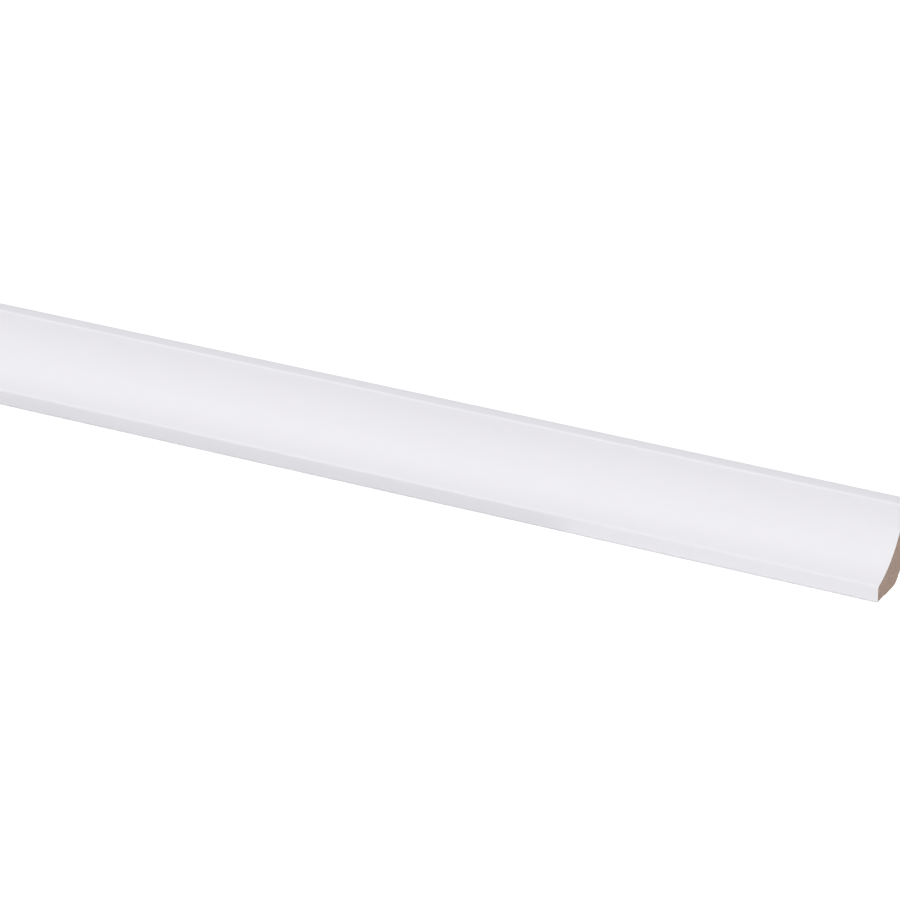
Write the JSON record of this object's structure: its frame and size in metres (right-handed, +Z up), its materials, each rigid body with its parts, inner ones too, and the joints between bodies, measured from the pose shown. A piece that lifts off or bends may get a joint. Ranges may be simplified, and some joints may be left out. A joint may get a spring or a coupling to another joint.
{
  "type": "cove moulding",
  "caption": "Length of white cove moulding with a hollow-curved face between flat edges, bevelled back corner and square-cut ends, for covering the joint in an inside corner.",
  "frame": {"origin": "middle of the bare strip of the wall face, half-way along the length", "axes": "+X along the length, +Y into the wall, +Z up, with the foot face looking down and the cove looking to -Y and up"},
  "size_m": [0.3, 0.022, 0.022],
  "materials": {
    "fibreboard": "sawn and machined medium-density fibreboard, bare",
    "white_film": "smooth satin white"
  },
  "bodies": {
    "root": {"fibreboard_core": "fibreboard", "white_film": "white_film"}
  },
  "joints": []
}
